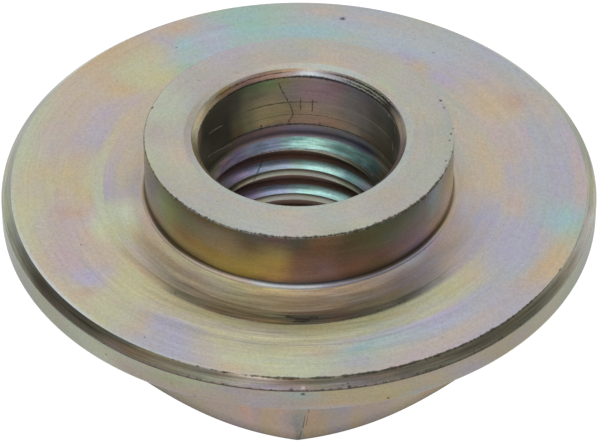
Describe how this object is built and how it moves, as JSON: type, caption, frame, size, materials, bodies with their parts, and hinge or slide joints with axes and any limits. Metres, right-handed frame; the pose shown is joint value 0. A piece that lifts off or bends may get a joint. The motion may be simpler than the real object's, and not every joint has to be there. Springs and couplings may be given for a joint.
{
  "type": "hexagon flange nut with pilot collar",
  "caption": "Steel flange nut: hexagon foot, broad round clamping flange, short turned pilot collar and a counterbored threaded hole.",
  "frame": {"origin": "centre of the hexagon's end face, on the thread axis; the nut stands on that face", "axes": "+Z along the thread axis from the hexagon towards the pilot collar; a hexagon corner towards -Y and flats towards +X and -X"},
  "size_m": [0.0284, 0.0284, 0.0126],
  "materials": {
    "passivated_steel": "turned steel, zinc plated with an iridescent yellow passivate"
  },
  "bodies": {
    "root": {"flange_nut": "passivated_steel"}
  },
  "joints": []
}
